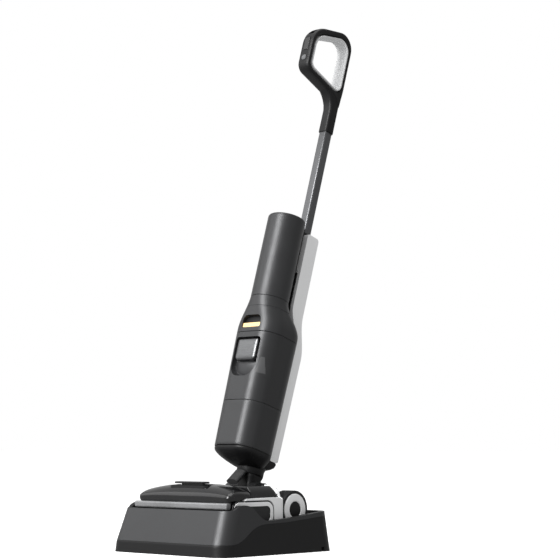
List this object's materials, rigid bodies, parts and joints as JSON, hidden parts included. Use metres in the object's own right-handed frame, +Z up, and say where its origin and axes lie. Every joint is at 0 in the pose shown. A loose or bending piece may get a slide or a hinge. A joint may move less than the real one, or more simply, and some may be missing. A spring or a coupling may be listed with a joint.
{
  "type": "wet dry floor washer in dock",
  "caption": "Cordless upright wet and dry floor washer leaning in its dark grey self-cleaning dock, with a smoked front tank, a light grey rear tank and a looped handle.",
  "frame": {"origin": "on the floor under the middle of the dock, on the underside of its bottom plate", "axes": "+Z up, -Y towards the brush end of the dock, +X to the left of a person who stands behind the machine and faces its brush end"},
  "size_m": [0.3044, 0.5317, 1.0998],
  "materials": {
    "metallic_grey": "satin metallic dark grey",
    "black_plastic": "fine matte grain",
    "gloss_black": "polished",
    "light_grey": "satin light grey",
    "smoked_tank": "smoked, polished",
    "brushed_silver": "brushed metallic coating",
    "stick_metal": "anodised dark grey, satin",
    "bare_steel": "turned",
    "cell_cans": "wrapped cells",
    "motor_cans": "plain can",
    "soft_black": "matte",
    "tyre_black": "matte, fine ribs",
    "nap_grey": "dense short nap",
    "filter_white": "pleated",
    "amber_lens": "frosted amber",
    "board_green": "solder mask"
  },
  "bodies": {
    "dock": {"dock_base": "black_plastic", "dock_shell": "metallic_grey", "dock_bottom_plate": "soft_black", "dock_drying_fan": "black_plastic", "dock_power_board": "board_green", "dock_power_inlet": "black_plastic"},
    "head": {"head_base": "black_plastic", "head_bumper": "light_grey", "rear_shell": "gloss_black", "side_trim_left": "light_grey", "side_trim_right": "light_grey", "end_cap_left": "black_plastic", "end_cap_right": "black_plastic", "rear_trim": "light_grey", "tail_frame": "gloss_black", "pivot_pin_left": "bare_steel", "pivot_pin_right": "bare_steel", "wheel_axle": "bare_steel", "brush_motor": "motor_cans", "drive_belt": "soft_black", "roller_scraper": "soft_black", "suction_duct": "black_plastic"},
    "cover": {"brush_cover": "gloss_black"},
    "latch": {"cover_latch": "gloss_black"},
    "roller": {"roller_core": "black_plastic", "roller_nap": "nap_grey"},
    "pulley": {"motor_pulley": "bare_steel"},
    "wheel_left": {"tyre_left": "tyre_black", "wheel_disc_left": "light_grey"},
    "wheel_right": {"tyre_right": "tyre_black", "wheel_disc_right": "light_grey"},
    "neck": {"neck_yoke": "black_plastic", "neck_hose": "soft_black"},
    "machine": {"bottom_shell": "gloss_black", "rear_frame": "black_plastic", "motor_housing": "metallic_grey", "battery_tube": "metallic_grey", "top_cap": "gloss_black", "display_lens": "gloss_black", "battery_pack": "cell_cans", "main_board": "board_green", "suction_motor": "motor_cans", "light_bar": "amber_lens", "stick_socket": "black_plastic", "stick": "stick_metal", "handle_grip": "black_plastic", "handle_liner": "light_grey"},
    "impeller": {"fan_impeller": "motor_cans"},
    "dirty_tank": {"tank_bowl": "smoked_tank", "tank_lid": "smoked_tank", "intake_tube": "black_plastic", "tank_float": "light_grey", "tank_filter": "filter_white"},
    "release": {"release_button": "brushed_silver"},
    "clean_tank_body": {"clean_tank": "light_grey"},
    "cap": {"filler_cap": "soft_black"},
    "power_key": {"power_button": "brushed_silver"},
    "mode_key": {"mode_button": "gloss_black"},
    "clean_key": {"clean_button": "gloss_black"}
  },
  "joints": [
    {"name": "head_lift", "type": "slide", "parent": "dock", "child": "head", "axis": [0, 0, 1], "range_m": [0, 0.15]},
    {"name": "cover_lift", "type": "slide", "parent": "head", "child": "cover", "axis": [0, 0, 1], "range_m": [0, 0.06]},
    {"name": "latch_press", "type": "slide", "parent": "cover", "child": "latch", "axis": [0, 1, 0], "range_m": [0, 0.005], "stiffness_N_per_m": 400},
    {"name": "roller_spin", "type": "hinge", "parent": "head", "child": "roller", "pos_m": [0, -0.072, 0.073], "axis": [1, 0, 0], "continuous": true},
    {"name": "pulley_spin", "type": "hinge", "parent": "head", "child": "pulley", "pos_m": [0.12, -0.014, 0.074], "axis": [1, 0, 0], "continuous": true},
    {"name": "wheel_left_spin", "type": "hinge", "parent": "head", "child": "wheel_left", "pos_m": [-0.1125, 0.07, 0.0815], "axis": [1, 0, 0], "continuous": true},
    {"name": "wheel_right_spin", "type": "hinge", "parent": "head", "child": "wheel_right", "pos_m": [0.1125, 0.07, 0.0815], "axis": [1, 0, 0], "continuous": true},
    {"name": "neck_tilt", "type": "hinge", "parent": "head", "child": "neck", "pos_m": [0, 0.066, 0.117], "axis": [-1, 0, 0], "range_deg": [0, 50]},
    {"name": "body_swivel", "type": "hinge", "parent": "neck", "child": "machine", "pos_m": [0, 0.066, 0.117], "axis": [0, 0.2924, 0.9563], "range_deg": [-35, 35]},
    {"name": "impeller_spin", "type": "hinge", "parent": "machine", "child": "impeller", "pos_m": [0, 0.13374, 0.46855], "axis": [0, 0.2924, 0.9563], "continuous": true},
    {"name": "dirty_tank_pull", "type": "slide", "parent": "machine", "child": "dirty_tank", "axis": [0, -0.9563, 0.2924], "range_m": [0, 0.13]},
    {"name": "release_press", "type": "slide", "parent": "dirty_tank", "child": "release", "axis": [0, 0.9563, -0.2924], "range_m": [0, 0.002], "stiffness_N_per_m": 600},
    {"name": "clean_tank_pull", "type": "slide", "parent": "machine", "child": "clean_tank_body", "axis": [0, 0.9563, -0.2924], "range_m": [0, 0.07]},
    {"name": "filler_cap_pull", "type": "slide", "parent": "clean_tank_body", "child": "cap", "axis": [0, 0.9563, -0.2924], "range_m": [0, 0.03]},
    {"name": "power_press", "type": "slide", "parent": "machine", "child": "power_key", "axis": [0, 0.9563, -0.2924], "range_m": [0, 0.0012], "stiffness_N_per_m": 800},
    {"name": "mode_press", "type": "slide", "parent": "machine", "child": "mode_key", "axis": [0, 0.9563, -0.2924], "range_m": [0, 0.0012], "stiffness_N_per_m": 800},
    {"name": "self_clean_press", "type": "slide", "parent": "machine", "child": "clean_key", "axis": [0, 0.3256, -0.9455], "range_m": [0, 0.0012], "stiffness_N_per_m": 800}
  ],
  "couplings": [
    {"joint": "pulley_spin", "follows": "roller_spin", "ratio": 1.5556}
  ]
}
